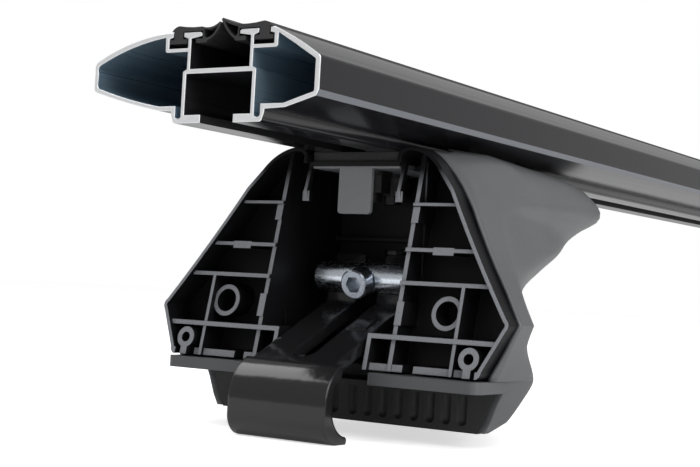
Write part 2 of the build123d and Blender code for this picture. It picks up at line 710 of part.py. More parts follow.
def t_bolt(x):
    seat = channel_lip - flange_depth + slide_gap
    end = bracket_z - bracket_thickness - washer_thickness - nut_height - bolt_past_nut
    head = block(x - bolt_head_along, x + bolt_head_along, -bolt_head_half, bolt_head_half, seat,
                 seat + bolt_head_thickness)
    head = chamfer(head.edges().group_by(Axis.Z)[-1], bolt_head_chamfer)
    return head + upright(x, 0, end, seat + 1.0, bolt_radius)


def bolt_washers():
    top = bracket_z - bracket_thickness
    rings = []
    for x in bolt_places:
        rings.append(upright(x, 0, top - washer_thickness, top, washer_radius)
                     - upright(x, 0, top - 2, top + 1, bolt_radius + fit_gap))
    return Compound(children=rings)


def bolt_nuts():
    top = bracket_z - bracket_thickness - washer_thickness
    nuts = []
    for x in bolt_places:
        hexagon = RegularPolygon(nut_across / 2, 6, major_radius=False)
        nut = extrude(Plane.XY.offset(top - nut_height) * Pos(x, 0) * hexagon, amount=nut_height)
        nuts.append(nut - upright(x, 0, top - nut_height - 1, top + 1, bolt_radius + thread_gap / 2))
    return Compound(children=nuts)


def foot_parts():
    """Every piece of one foot, in the foot's own frame."""
    core_screws = small_screw_places()[:2]
    cowl_screws = small_screw_places()[2:]
    return {
        "core": foot_core(), "cowl": foot_cowl(), "base_plate": base_plate(), "roof_pad": roof_pad(),
        "door_hook": door_hook(), "cross_dowel": cross_dowel(), "clamp_screw": clamp_screw(),
        "anchor_barrel": anchor_barrel(), "clamp_bracket": clamp_bracket(), "saddle_gasket": saddle_gasket(),
        "t_bolt_outer": t_bolt(bolt_places[0]), "t_bolt_inner": t_bolt(bolt_places[1]),
        "bolt_washers": bolt_washers(), "bolt_nuts": bolt_nuts(),
        "core_screws": small_screws(core_screws), "cowl_screws": small_screws(cowl_screws)}


def build():
    middle = Location((-bar_length / 2, 0, stand_height))
    pieces = {
        "crossbar": middle * crossbar(),
        "slot_seal_trailing": middle * slot_seal(seal_rise_trailing),
        "slot_seal_leading": middle * mirror(slot_seal(seal_rise_leading), about=Plane.XZ)}
    ends = {"near": middle, "far": Location((bar_length / 2, 0, stand_height), (0, 0, 180))}
    for name, solid in foot_parts().items():
        for end, place in ends.items():
            pieces[f"{end}_{name}"] = place * solid
    return pieces


os.makedirs("parts", exist_ok=True)
for node, shape in build().items():
    export_step(shape, f"parts/{node}.step")
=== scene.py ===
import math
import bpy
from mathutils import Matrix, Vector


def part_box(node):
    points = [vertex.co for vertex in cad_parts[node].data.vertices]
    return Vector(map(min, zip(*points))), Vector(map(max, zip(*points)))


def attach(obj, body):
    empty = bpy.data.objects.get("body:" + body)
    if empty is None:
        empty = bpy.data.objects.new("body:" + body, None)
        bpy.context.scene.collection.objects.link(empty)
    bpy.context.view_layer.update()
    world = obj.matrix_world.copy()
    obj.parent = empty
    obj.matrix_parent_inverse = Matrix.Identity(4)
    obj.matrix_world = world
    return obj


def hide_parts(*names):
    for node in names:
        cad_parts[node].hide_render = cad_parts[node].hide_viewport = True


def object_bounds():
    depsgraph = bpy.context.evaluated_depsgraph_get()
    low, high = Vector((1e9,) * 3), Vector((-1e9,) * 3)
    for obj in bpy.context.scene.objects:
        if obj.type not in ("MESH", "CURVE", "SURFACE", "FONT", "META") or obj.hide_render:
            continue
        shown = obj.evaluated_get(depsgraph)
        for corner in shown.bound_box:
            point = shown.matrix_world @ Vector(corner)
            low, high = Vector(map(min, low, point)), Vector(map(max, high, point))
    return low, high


bl_info = {
    "name": "Roof Rack Crossbar",
    "version": (1, 0, 0),
    "blender": (4, 5, 0),
    "location": "View3D > Sidebar > Roof Rack",
    "description": "Dresses a roof rack crossbar on two clamp feet",
    "category": "Object",
}

import bmesh
import bpy
from bpy.props import FloatProperty, FloatVectorProperty, PointerProperty
from mathutils import Matrix, Vector

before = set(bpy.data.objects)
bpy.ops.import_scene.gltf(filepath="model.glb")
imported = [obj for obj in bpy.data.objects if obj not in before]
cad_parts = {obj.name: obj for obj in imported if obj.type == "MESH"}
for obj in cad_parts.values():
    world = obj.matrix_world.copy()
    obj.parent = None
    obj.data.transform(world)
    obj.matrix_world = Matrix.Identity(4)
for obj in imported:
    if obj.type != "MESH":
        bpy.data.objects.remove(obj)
CAD_BOX = [[float(value) for value in corner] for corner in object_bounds()]

# Outlines are drawn in millimetres in a foot's own frame: x inward from the bar's end, y across,
# and z from 0.2 below the underside of the bar's web. MM turns them into metres.
MM = 0.001
FLANGE_DEPTH = 14.1
BAR_LOW, BAR_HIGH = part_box("crossbar")
HALF_LENGTH = BAR_HIGH[0] / MM
DATUM = BAR_LOW[2] / MM + FLANGE_DEPTH
ENDS = {"near": 1, "far": -1}
LARGEST_SIZE = 0.1
LENGTH_WORDS = dict(unit="LENGTH", subtype="DISTANCE", precision=5)


def size(name, description, default):
    return FloatProperty(name=name, description=description, default=default, min=0.0,
                         max=LARGEST_SIZE, **LENGTH_WORDS)


def colour(name, description, default):
    return FloatVectorProperty(name=name, description=description, default=default, size=3, min=0.0,
                               max=1.0, subtype="COLOR")


class RackSizes(bpy.types.PropertyGroup):
    """Sizes of the dressed pieces that a user would change"""

    cut_bevel: size("Cut bevel", "Bevel round the sawn ends of the bar", 0.00018)
    edge_round: size("Edge round", "Radius that moulded and bent edges catch the light with", 0.0004)
    hook_round: size("Hook round", "Radius of the hook's coated edges", 0.0012)
    cowl_wall: size("Cowl wall", "Thickness of the cowl's rim", 0.0011)
    grain: size("Grain", "Size of one grain of the moulded texture", 0.00045)


class RackFinishes(bpy.types.PropertyGroup):
    """Colours of the finishes"""

    anodised: colour("Anodised black", "Outside of the bar", (0.012, 0.012, 0.014))
    # Painted highlight: the light line along the glossy bar's low leading chamfer
    edge: colour("Anodised edge", "Painted_highlight_on edge low on the leading side", (0.12, 0.13, 0.148))
    cut: colour("Cut aluminium", "Sawn ends of the bar", (0.82, 0.83, 0.84))
    chamber: colour("Chamber", "Inside of the two closed chambers", (0.27, 0.38, 0.47))
    rubber: colour("Seal rubber", "Slot seals", (0.022, 0.022, 0.024))
    core: colour("Core plastic", "Pockets and flanks of the foot's core", (0.006, 0.006, 0.007))
    # Painted light: the light grey that the core's rib fronts show where the lamps fall on them
    rib_light: colour("Rib fronts", "Painted_light_on fronts of the core's ribs", (0.25, 0.26, 0.28))
    cowl: colour("Cowl plastic", "Cowl of the foot", (0.092, 0.095, 0.100))
    plate: colour("Plate plastic", "Base plate of the foot", (0.075, 0.078, 0.082))
    pad: colour("Pad rubber", "Pad that rests on the roof", (0.011, 0.011, 0.012))
    zinc: colour("Zinc", "Plated steel parts", (0.68, 0.73, 0.80))
    hook: colour("Hook coat", "Coated steel hook", (0.012, 0.012, 0.013))
    screw: colour("Screw black", "Bare blackened steel of the clamp screw", (0.34, 0.37, 0.42))
    bolts: colour("Bolt black", "Blackened bolts, nuts and washers", (0.012, 0.012, 0.013))
    bracket: colour("Bracket grey", "Phosphated steel bracket", (0.20, 0.205, 0.215))
    floor: colour("Floor", "Floor and backdrop", (0.92, 0.92, 0.92))


# Finishes
NOISE_LOW, NOISE_HIGH = 0.3, 0.7


def calculated(tree, operation, *values):
    """Result of a Math node on sockets or numbers."""
    node = tree.nodes.new("ShaderNodeMath")
    node.operation = operation
    for socket, value in zip(node.inputs, values):
        if isinstance(value, bpy.types.NodeSocket):
            tree.links.new(value, socket)
        else:
            socket.default_value = value
    return node.outputs[0]


class Finish:
    """A node material with one Principled shader and helpers that wire textures into it."""

    def __init__(self, name, colour, rough, metal=0.0):
        self.material = bpy.data.materials.new(name)
        self.material.use_nodes = True
        self.tree = self.material.node_tree
        self.nodes, self.links = self.tree.nodes, self.tree.links
        self.shader = self.nodes["Principled BSDF"]
        self.colour = tuple(colour)
        self.shader.inputs["Base Color"].default_value = (*self.colour, 1.0)
        self.shader.inputs["Roughness"].default_value = rough
        self.shader.inputs["Metallic"].default_value = metal
        self.normal = None
        self.place = self.nodes.new("ShaderNodeTexCoord").outputs["Object"]

    def stretched(self, x, y, z):
        """Object coordinates in metres, multiplied per axis."""
        mapping = self.nodes.new("ShaderNodeMapping")
        mapping.inputs["Scale"].default_value = (x, y, z)
        self.links.new(self.place, mapping.inputs["Vector"])
        return mapping.outputs["Vector"]

    def noise(self, vector, detail=2.0, roughness=0.5):
        texture = self.nodes.new("ShaderNodeTexNoise")
        texture.inputs["Scale"].default_value = 1.0
        texture.inputs["Detail"].default_value = detail
        texture.inputs["Roughness"].default_value = roughness
        self.links.new(vector, texture.inputs["Vector"])
        return texture.outputs["Fac"]

    def spread(self, value, start, end, low, high):
        """A value carried from one range to another and held at its ends."""
        node = self.nodes.new("ShaderNodeMapRange")
        for name, number in (("From Min", start), ("From Max", end), ("To Min", low), ("To Max", high)):
            node.inputs[name].default_value = number
        self.links.new(value, node.inputs["Value"])
        return node.outputs["Result"]

    def between(self, value, low, high):
        """The middle of a noise's range spread from low to high."""
        return self.spread(value, NOISE_LOW, NOISE_HIGH, low, high)

    def rough_by(self, value, low, high):
        self.links.new(self.between(value, low, high), self.shader.inputs["Roughness"])

    def tint_by(self, value, low, high):
        """Colour between two brightnesses of the base colour."""
        self.colours_by(value, *[[share * part for part in self.colour] for share in (low, high)])

    def share_behind_face(self, near, far):
        """From 1 within near millimetres behind the raked face of a foot to 0 at far."""
        across = self.nodes.new("ShaderNodeVectorMath")
        across.operation = "ABSOLUTE"
        self.links.new(self.place, across.inputs[0])
        along = self.nodes.new("ShaderNodeVectorMath")
        along.operation = "DOT_PRODUCT"
        along.inputs[1].default_value = (-1.0, 0.0, -FACE_RAKE)
        self.links.new(across.outputs["Vector"], along.inputs[0])
        face = FACE_X - HALF_LENGTH - FACE_RAKE * (DATUM + FACE_LEVEL)
        return self.spread(along.outputs["Value"], (face + near) * MM, (face + far) * MM, 1.0, 0.0)

    def part_of(self, vector, axis):
        """One of a vector's three parts."""
        split = self.nodes.new("ShaderNodeSeparateXYZ")
        self.links.new(vector, split.inputs["Vector"])
        return split.outputs[axis]

    def share_facing_x(self):
        """1 where the surface faces along the bar, 0 where it faces across it or up."""
        facing = self.nodes.new("ShaderNodeTexCoord").outputs["Normal"]
        return self.between(calculated(self.tree, "ABSOLUTE", self.part_of(facing, "X")), 0.0, 1.0)

    def share_under(self, low, high):
        """From 1 below one height of a foot to 0 above another."""
        height = self.part_of(self.place, "Z")
        return self.spread(height, (DATUM + low) * MM, (DATUM + high) * MM, 1.0, 0.0)

    def product(self, one, two):
        return calculated(self.tree, "MULTIPLY", one, two)

    def colours_by(self, value, low, high):
        """Colour low where the value is 0 and high where it is 1."""
        mix = self.nodes.new("ShaderNodeMix")
        mix.data_type = "RGBA"
        mix.inputs["A"].default_value = (*low, 1.0)
        mix.inputs["B"].default_value = (*high, 1.0)
        self.links.new(value, mix.inputs["Factor"])
        self.links.new(mix.outputs["Result"], self.shader.inputs["Base Color"])

    def round_edges(self, radius):
        bevel = self.nodes.new("ShaderNodeBevel")
        bevel.samples = 6
        bevel.inputs["Radius"].default_value = radius
        self.normal = bevel.outputs["Normal"]
        self.links.new(self.normal, self.shader.inputs["Normal"])

    def bump(self, value, height, strength=1.0):
        bump = self.nodes.new("ShaderNodeBump")
        bump.inputs["Strength"].default_value = strength
        bump.inputs["Distance"].default_value = height
        self.links.new(value, bump.inputs["Height"])
        if self.normal:
            self.links.new(self.normal, bump.inputs["Normal"])
        self.normal = bump.outputs["Normal"]
        self.links.new(self.normal, self.shader.inputs["Normal"])


def anodised_finish(name, colour, rough, metal=0.0):
    """Extruded and anodised: fine die lines along the bar."""
    made = Finish(name, colour, rough, metal)
    lines = made.noise(made.stretched(1.5, 1400.0, 1400.0), detail=3.0)
    made.rough_by(lines, rough * 0.85, rough * 1.2)
    made.bump(lines, 0.000004)
    return made.material


CUT_ROUGH, CUT_METAL = 0.42, 0.55


def cut_finish(name, colour):
    """Sawn aluminium: faint straight tooth marks across the end."""
    made = Finish(name, colour, CUT_ROUGH, metal=CUT_METAL)
    marks = made.noise(made.stretched(200.0, 300.0, 6000.0), detail=2.0)
    made.rough_by(marks, 0.34, 0.5)
    made.tint_by(marks, 0.93, 1.05)
    made.bump(marks, 0.000008)
    return made.material


def moulded_finish(name, colour, rough, grain, edge, depth=0.00003):
    """Spark-eroded mould texture with soft edges."""
    made = Finish(name, colour, rough)
    made.round_edges(edge)
    scale = 1.0 / grain
    grains = made.noise(made.stretched(scale, scale, scale), detail=3.0, roughness=0.6)
    cloud = made.noise(made.stretched(40.0, 40.0, 40.0), detail=2.0)
    made.tint_by(cloud, 0.88, 1.12)
    made.rough_by(grains, rough * 0.85, rough * 1.15)
    made.bump(grains, depth)
    return made.material


# Millimetres behind the raked face, and heights in a foot, between which the painted light on the rib
# fronts fades out to the black of the pockets (painted shade)
RIB_LIGHT_DEPTHS = (2.0, 4.0)
RIB_LIGHT_HEIGHTS = (-28.0, -20.0)


def core_finish(name, pocket, rib_light, grain, edge):
    """Black glass-filled plastic with painted light: rib fronts near the face are painted light grey, and
    the deeper pockets stay black as painted shade.
    """
    made = Finish(name, pocket, 0.45)
    made.shader.inputs["Specular IOR Level"].default_value = 0.2
    made.round_edges(edge)
    scale = 1.0 / grain
    grains = made.noise(made.stretched(scale, scale, scale), detail=4.0, roughness=0.7)
    # Painted light and shade: fronts near the face, facing along the bar and low down get the light rib
    # colour, which fades to black deeper in the pockets, higher up and on faces turned across
    fronts = made.product(made.share_behind_face(*RIB_LIGHT_DEPTHS), made.share_facing_x())
    fronts = made.product(fronts, made.share_under(*RIB_LIGHT_HEIGHTS))
    made.colours_by(made.product(fronts, made.between(grains, 0.75, 1.1)), pocket, rib_light)
    made.rough_by(grains, 0.38, 0.55)
    made.bump(grains, 0.00003)
    return made.material


def rubber_finish(name, colour, edge):
    made = Finish(name, colour, 0.55)
    made.round_edges(edge)
    skin = made.noise(made.stretched(900.0, 900.0, 900.0), detail=4.0, roughness=0.65)
    made.rough_by(skin, 0.48, 0.66)
    made.tint_by(skin, 0.85, 1.15)
    made.bump(skin, 0.00002)
    return made.material


def zinc_finish(name, colour, edge):
    """Bright zinc with bluish speckle and fine turning lines."""
    made = Finish(name, colour, 0.2, metal=1.0)
    made.round_edges(edge)
    speckle = made.noise(made.stretched(1400.0, 500.0, 1400.0), detail=4.0, roughness=0.7)
    made.tint_by(speckle, 0.75, 1.35)
    made.rough_by(speckle, 0.12, 0.36)
    made.bump(speckle, 0.00001)
    return made.material


def coat_finish(name, colour, rough, edge, metal=0.0):
    """Powder or dip coat: glossy with a slight flow in it."""
    made = Finish(name, colour, rough, metal)
    made.round_edges(edge)
    flow = made.noise(made.stretched(120.0, 120.0, 120.0), detail=2.0)
    fine = made.noise(made.stretched(900.0, 900.0, 900.0), detail=2.0)
    made.rough_by(fine, rough * 0.8, rough * 1.25)
    made.bump(flow, 0.00009)
    return made.material


def paint_node(node, material):
    """A CAD piece keeps its mesh and gets this material in all its slots."""
    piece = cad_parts[node]
    if not piece.material_slots:
        piece.data.materials.append(material)
    for material_slot in piece.material_slots:
        material_slot.link = "OBJECT"
        material_slot.material = material


# Meshes
LEAST_STRETCH = 0.35


def arc(start, via, end, steps=8):
    """Points of the round from start to end through via, without the start."""
    (ax, ay), (bx, by), (cx, cy) = start, via, end
    det = 2 * (ax * (by - cy) + bx * (cy - ay) + cx * (ay - by))
    ux = ((ax**2 + ay**2) * (by - cy) + (bx**2 + by**2) * (cy - ay) + (cx**2 + cy**2) * (ay - by)) / det
    uy = ((ax**2 + ay**2) * (cx - bx) + (bx**2 + by**2) * (ax - cx) + (cx**2 + cy**2) * (bx - ax)) / det
    radius = math.hypot(ax - ux, ay - uy)
    first = math.atan2(ay - uy, ax - ux)
    turn = math.atan2(cy - uy, cx - ux) - first
    middle = math.atan2(by - uy, bx - ux) - first
    turn %= 2 * math.pi
    if middle % (2 * math.pi) > turn:
        turn -= 2 * math.pi
    return [(ux + radius * math.cos(first + turn * step / steps),
             uy + radius * math.sin(first + turn * step / steps)) for step in range(1, steps + 1)]


def drawn(steps):
    """Points of an outline. A step is a point, or a pair: an arc's middle and end."""
    points = []
    for step in steps:
        if isinstance(step[0], tuple):
            points += arc(points[-1], step[0], step[1])
        else:
            points.append(step)
    return points


def drawn_in(points, depth):
    """A closed outline moved to its left by depth, at each point along the mean of its two sides."""
    moved = []
    count = len(points)
    for index, (x, y) in enumerate(points):
        before = Vector(points[index - 1])
        after = Vector(points[(index + 1) % count])
        here = Vector((x, y))
        one = (here - before).normalized()
        two = (after - here).normalized()
        side = Vector((-one.y - two.y, one.x + two.x))
        if side.length < 1e-6:
            side = Vector((-one.y, one.x))
        side.normalize()
        stretch = max(LEAST_STRETCH, side.dot(Vector((-one.y, one.x))))
        moved.append(tuple(here + side * (depth / stretch)))
    return moved


def make_object(name, mesh_maker, materials, smooth_angle=35.0):
    """A new mesh object from a function that fills a bmesh in millimetres."""
    bm = bmesh.new()
    mesh_maker(bm)
    bmesh.ops.scale(bm, vec=(MM, MM, MM), verts=bm.verts)
    bmesh.ops.recalc_face_normals(bm, faces=bm.faces)
    mesh = bpy.data.meshes.new(name)
    bm.to_mesh(mesh)
    bm.free()
    for material in materials:
        mesh.materials.append(material)
    mesh.shade_smooth()
    mesh.set_sharp_from_angle(angle=math.radians(smooth_angle))
    made = bpy.data.objects.new(name, mesh)
    bpy.context.scene.collection.objects.link(made)
    return made


# Crossbar
SLOT_HALF, SLOT_WALL, SLOT_MOUTH = 10.65, 1.1, 6.8
WEB, WEB_UNDER = 1.55, 0.2
LIP_UNDER, LIP_TOP, LIP_SLOPE, CROWN = 10.4, 12.2, 0.6, 12.45
GROOVE_FLOOR, GROOVE_WALL, GROOVE_OUTER, GROOVE_IN, GROOVE_OUT = 7.7, 1.05, 18.8, 13.4, 17.4
CHANNEL_HALF, CHANNEL_WALL, CHANNEL_MOUTH, CHANNEL_LIP = 11.85, 1.25, 5.9, 2.35
FLANGE_HALF, FLANGE_WALL = 16.7, 1.5
BELLY = 10.4
SKIN = 1.35
LEADING, TRAILING = 34.7, 47.1
NOSE_TOP, NOSE_BOTTOM, LEADING_BOTTOM = 2.7, 2.4, 6.0
EDGE_TOP, EDGE_LOW, EDGE_IN = -5.6, -7.3, 0.9


def slot_run():
    """One side of the bar's outline from the slot's floor to the crown beside the seal groove."""
    wall = SLOT_HALF + SLOT_WALL
    slope = LIP_UNDER + LIP_SLOPE
    return [(SLOT_HALF, WEB), (SLOT_HALF, LIP_UNDER), (SLOT_MOUTH, slope), (SLOT_MOUTH, LIP_TOP - 0.4),
            (SLOT_MOUTH + 0.6, LIP_TOP), (GROOVE_IN, LIP_TOP), (GROOVE_IN, slope), (wall, LIP_UNDER),
            (wall, GROOVE_FLOOR), (GROOVE_OUTER, GROOVE_FLOOR), (GROOVE_OUTER, LIP_UNDER + 0.2),
            (GROOVE_OUT, slope), (GROOVE_OUT, CROWN - 0.15), (GROOVE_OUTER, CROWN)]


def channel_run():
    """One side of the bar's outline from the belly to the fixing channel's roof."""
    return [(FLANGE_HALF, -BELLY - 0.1),
            ((FLANGE_HALF - 0.15, -FLANGE_DEPTH + 2.4), (FLANGE_HALF - 0.7, -FLANGE_DEPTH + 1.0)),
            ((FLANGE_HALF - 0.95, -FLANGE_DEPTH + 0.3), (FLANGE_HALF - 1.6, -FLANGE_DEPTH)),
            (CHANNEL_MOUTH, -FLANGE_DEPTH), (CHANNEL_MOUTH, CHANNEL_LIP - FLANGE_DEPTH),
            (CHANNEL_HALF, CHANNEL_LIP - FLANGE_DEPTH), (CHANNEL_HALF, WEB_UNDER)]


TOP_MIDDLE = (TRAILING - 11.0, CROWN - 3.3)
LOW_MIDDLE = (TRAILING - 12.5, -BELLY + 3.0)
SLOPE_MIDDLE = ((GROOVE_OUTER + LEADING) / 2 + 0.2, CROWN - 4.0)


def trailing_edge():
    return [(TOP_MIDDLE, (TRAILING - 0.8, NOSE_TOP + 2.2)),
            ((TRAILING - 0.12, NOSE_TOP + 1.3), (TRAILING, NOSE_TOP)), (TRAILING, -NOSE_BOTTOM),
            ((TRAILING - 0.15, -NOSE_BOTTOM - 1.1), (TRAILING - 1.0, -NOSE_BOTTOM - 1.8)),
            (LOW_MIDDLE, (GROOVE_OUTER + 2.5, -BELLY + 0.1))]


def leading_edge():
    return [(SLOPE_MIDDLE, (LEADING - 0.9, NOSE_TOP + 1.5)),
            ((LEADING - 0.15, NOSE_TOP + 0.8), (LEADING, NOSE_TOP)),
            (LEADING, EDGE_TOP), (LEADING - EDGE_IN, EDGE_LOW), (GROOVE_OUTER + 4.9, -BELLY + 0.2)]


def chamber(edge):
    """Outline of one of the bar's two closed chambers."""
    wall = SLOT_HALF + SLOT_WALL
    shoulder = CHANNEL_HALF + CHANNEL_WALL
    roof = GROOVE_FLOOR - GROOVE_WALL
    return drawn([(wall, roof), (GROOVE_OUTER + 0.5, roof),
                  ((GROOVE_OUTER + 1.05, roof + 0.2), (GROOVE_OUTER + 1.3, roof + 0.7)), *edge,
                  (FLANGE_HALF - FLANGE_WALL, SKIN - BELLY),
                  (FLANGE_HALF - FLANGE_WALL, SKIN - FLANGE_DEPTH + 0.5),
                  ((FLANGE_HALF - 2.4, SKIN - FLANGE_DEPTH), (shoulder, SKIN - FLANGE_DEPTH + 0.5)),
                  (shoulder, WEB - 0.7), (wall, WEB)])


def trailing_chamber():
    return chamber([(GROOVE_OUTER + 1.4, CROWN - SKIN),
                    ((TOP_MIDDLE[0], TOP_MIDDLE[1] - SKIN - 0.2),
                     (TRAILING - SKIN - 0.7, NOSE_TOP + 1.3)),
                    ((TRAILING - SKIN, NOSE_TOP + 0.6), (TRAILING - SKIN, NOSE_TOP - 0.8)),
                    (TRAILING - SKIN, -NOSE_BOTTOM + 0.8),
                    ((TRAILING - SKIN - 0.2, -NOSE_BOTTOM - 0.3),
                     (TRAILING - SKIN - 1.2, -NOSE_BOTTOM - 0.9)),
                    ((LOW_MIDDLE[0], LOW_MIDDLE[1] + SKIN - 0.2), (GROOVE_OUTER + 2.5, SKIN - BELLY))])


def leading_chamber():
    points = chamber([(GROOVE_OUTER + 1.4, CROWN - SKIN - 0.4),
                      (SLOPE_MIDDLE[0] - 0.7, SLOPE_MIDDLE[1] - SKIN),
                      (LEADING - SKIN - 0.8, NOSE_TOP + 0.5),
                      ((LEADING - SKIN - 0.35, NOSE_TOP), (LEADING - SKIN - 0.3, NOSE_TOP - 0.7)),
                      (LEADING - SKIN - 0.3, -LEADING_BOTTOM + 0.6),
                      ((LEADING - SKIN - 0.45, -LEADING_BOTTOM),
                       (LEADING - SKIN - 1.1, -LEADING_BOTTOM - 0.3)),
                      (GROOVE_OUTER + 4.2, SKIN - BELLY)])
    return [(-y, z) for y, z in reversed(points)]


ANODISED, CUT, CHAMBER, SHADED_CHANNEL, PAINTED_HIGHLIGHT = range(5)


def fill_crossbar(bm, bevel):
    """Extruded bar: its side walls loop by loop, and a filled, bevelled cap at each sawn end."""
    trailing = drawn([*slot_run(), *trailing_edge(), *channel_run()])
    leading = [(-y, z) for y, z in reversed(drawn([*slot_run(), *leading_edge(), *channel_run()]))]
    loops = [(trailing + leading, None), (trailing_chamber(), CHAMBER), (leading_chamber(), CHAMBER)]
    caps = {-1: [], 1: []}
    for points, inside in loops:
        area = sum(a[0] * b[1] - b[0] * a[1] for a, b in zip(points, points[1:] + points[:1]))
        inward = 1 if area > 0 else -1
        if inside is not None:
            inward = -inward
        lowered = drawn_in(points, bevel * inward)
        rings = []
        for x, ring in ((-HALF_LENGTH, lowered), (-HALF_LENGTH + bevel, points),
                        (HALF_LENGTH - bevel, points), (HALF_LENGTH, lowered)):
            rings.append([bm.verts.new((x, y, z + DATUM)) for y, z in ring])
        for step in range(3):
            for index in range(len(points)):
                after = (index + 1) % len(points)
                face = bm.faces.new((rings[step][index], rings[step][after],
                                     rings[step + 1][after], rings[step + 1][index]))
                middle = [sum(pair) / 2 for pair in zip(points[index], points[after])]
                face.material_index = CUT
                if step == 1:
                    face.material_index = inside if inside is not None else side_finish(*middle)
        for side, ring in ((-1, rings[0]), (1, rings[3])):
            caps[side] += [bm.edges.get((ring[index - 1], ring[index])) for index in range(len(ring))]
    for side in caps:
        made = bmesh.ops.triangle_fill(bm, use_beauty=True, use_dissolve=False, edges=caps[side])
        for item in made["geom"]:
            if isinstance(item, bmesh.types.BMFace):
                item.material_index = CUT


def side_finish(y, z):
    """Finish of the side wall at a place in the section: a painted highlight on the chamfer low on the
    leading side, the darker channel finish (painted shade) in the slot, in the grooves and on the fixing
    channel's sides and lips, else anodised."""
    # Painted highlight on the low chamfer of the leading side
    if y < 0.1 - LEADING + EDGE_IN and EDGE_LOW < z < EDGE_TOP:
        return PAINTED_HIGHLIGHT
    y = abs(y)
    in_slot = y < SLOT_HALF + 0.01 and WEB - 0.01 < z < LIP_TOP - 0.3
    in_groove = SLOT_HALF < y < GROOVE_OUTER + 0.01 and GROOVE_FLOOR - 0.01 < z < LIP_TOP - 0.5
    in_channel = y < CHANNEL_HALF + 0.01 and -FLANGE_DEPTH + 0.1 < z < 0.01
    return SHADED_CHANNEL if in_slot or in_groove or in_channel else ANODISED


# Cowl
FACE_X, FACE_LEVEL, FACE_RAKE = 64.2, -60.0, 0.228
RIM_SETBACK = 3.8
SADDLE_HALF, SADDLE_Z = 17.4, -17.2
CORNER_LEVEL = -67.1
CORNER_HALF = 66.3
PLATE_TOP = -84.3
SKIRT_X = 75.0
CORE_BACK = 112.5
CORE_HALF = 27.3


def front(z):
    return FACE_X + FACE_RAKE * (z - FACE_LEVEL)


# Plan of the cowl by height: half width at the front, half width where the side turns in, that place,
# how sharply it turns, far end, fullness
COWL_ROWS = [
    (-11.6, 24.0, 30.0, 110.0, 8.0, 176.0, 0.80),
    (-14.5, 28.8, 36.0, 112.0, 8.0, 206.0, 1.02),
    (-18.5, 33.8, 39.4, 114.0, 8.0, 222.0, 1.02),
    (-23.5, 38.6, 41.6, 112.0, 6.0, 232.0, 0.97),
    (-27.5, 41.6, 43.0, 104.0, 5.0, 232.0, 0.86),
    (-31.5, 44.4, 45.0, 92.0, 13.0, 215.0, 0.95),
    (-36.0, 46.9, 47.5, 89.5, 15.0, 205.0, 0.81),
    (-42.5, 50.7, 51.6, 85.0, 13.0, 194.0, 0.66),
    (-49.0, 54.7, 55.8, 81.0, 16.0, 176.0, 0.55),
    (-57.5, 60.4, 61.3, 76.5, 30.0, 152.0, 0.55),
    (CORNER_LEVEL, CORNER_HALF, CORNER_HALF - 0.3, 76.0, 32.0, 142.0, 0.60),
    (-74.7, 63.4, 63.4, 77.0, 26.0, 140.0, 0.62),
    (PLATE_TOP, 59.0, 61.0, 88.0, 26.0, 140.0, 0.60),
    (-91.5, 55.6, 58.0, 86.0, 26.0, 139.0, 0.62),
    (-97.5, 53.4, 55.0, 83.0, 26.0, 137.0, 0.58),
    (-101.0, 51.5, 51.3, 78.0, 26.0, 130.0, 0.55)]
SKIRT_RETURN = 2.3
SKIRT_STEP = 0.21
SIDE_STEPS, TURN_STEPS = 6, 24
LEVEL_STEP = 1.6
TOP_SHARES = (0.0, 0.35, 0.6, 0.66, 0.70, 0.74, 0.80, 0.9)
GROOVE_GAP = 0.3


def cowl_row(z):
    """The cowl's plan sizes at any height, eased between the rows of the table."""
    rows = COWL_ROWS
    index = 0
    while index < len(rows) - 2 and z < rows[index + 1][0]:
        index += 1
    before, here, there, after = (rows[max(0, index - 1)], rows[index], rows[index + 1],
                                  rows[min(len(rows) - 1, index + 2)])
    share = (z - here[0]) / (there[0] - here[0])
    sizes = []
    for column in range(1, len(here)):
        span = there[0] - here[0]
        slope_here = (there[column] - before[column]) / (there[0] - before[0]) * span
        slope_there = (after[column] - here[column]) / (after[0] - here[0]) * span
        if column <= 2 and (CORNER_LEVEL in (here[0], there[0]) or z < PLATE_TOP):
            slope_here = slope_there = there[column] - here[column]
        square, cube = share**2, share**3
        sizes.append((2 * cube - 3 * square + 1) * here[column] + (cube - 2 * square + share) * slope_here
                     + (3 * square - 2 * cube) * there[column] + (cube - square) * slope_there)
    return sizes


def cowl_plan(z):
    """Half of the cowl's plan at height z, from the front rim to the far end on the centre line."""
    front_half, half, turn_x, turn, end_x, fullness = cowl_row(z)
    in_skirt = z < PLATE_TOP - SKIRT_STEP / 2
    start = SKIRT_X if in_skirt else front(z) + RIM_SETBACK
    reach = (end_x - turn_x) * 0.5
    angle = math.radians(turn)
    lead = (turn_x + reach * math.cos(angle), half - reach * math.sin(angle))
    last = (end_x, half * fullness)
    points = [(start, front_half - (SKIRT_RETURN if in_skirt else 0.0))]
    for step in range(SIDE_STEPS):
        points.append((start + (turn_x - start) * step / SIDE_STEPS,
                       front_half + (half - front_half) * step / SIDE_STEPS))
    for step in range(TURN_STEPS + 1):
        t = step / TURN_STEPS
        a, b, c, d = (1 - t) ** 3, 3 * t * (1 - t) ** 2, 3 * t**2 * (1 - t), t**3
        points.append((a * turn_x + b * lead[0] + c * last[0] + d * end_x,
                       a * half + b * lead[1] + c * last[1]))
    return points


